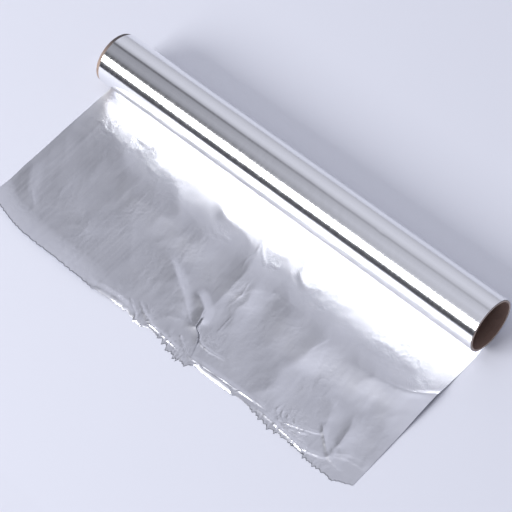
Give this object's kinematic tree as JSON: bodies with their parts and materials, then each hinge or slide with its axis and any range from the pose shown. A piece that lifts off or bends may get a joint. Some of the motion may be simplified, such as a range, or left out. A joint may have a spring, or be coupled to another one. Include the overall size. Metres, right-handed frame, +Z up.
{
  "type": "aluminium foil roll",
  "caption": "Household aluminium foil wound on a cardboard tube, lying on its side with a torn, creased length pulled out in front.",
  "frame": {"origin": "on the axis of the cardboard tube, halfway along the width of the foil", "axes": "+X along the tube to the end where it is nearly flush with the foil, the pulled-out length lies towards -Y, +Z up"},
  "size_m": [0.303, 0.1423, 0.0356],
  "materials": {
    "cardboard": "matt brown kraft board",
    "foil": "bright on the outside of the web and satin on its inside"
  },
  "bodies": {
    "root": {"core_tube": "cardboard", "foil": "foil"}
  },
  "joints": []
}
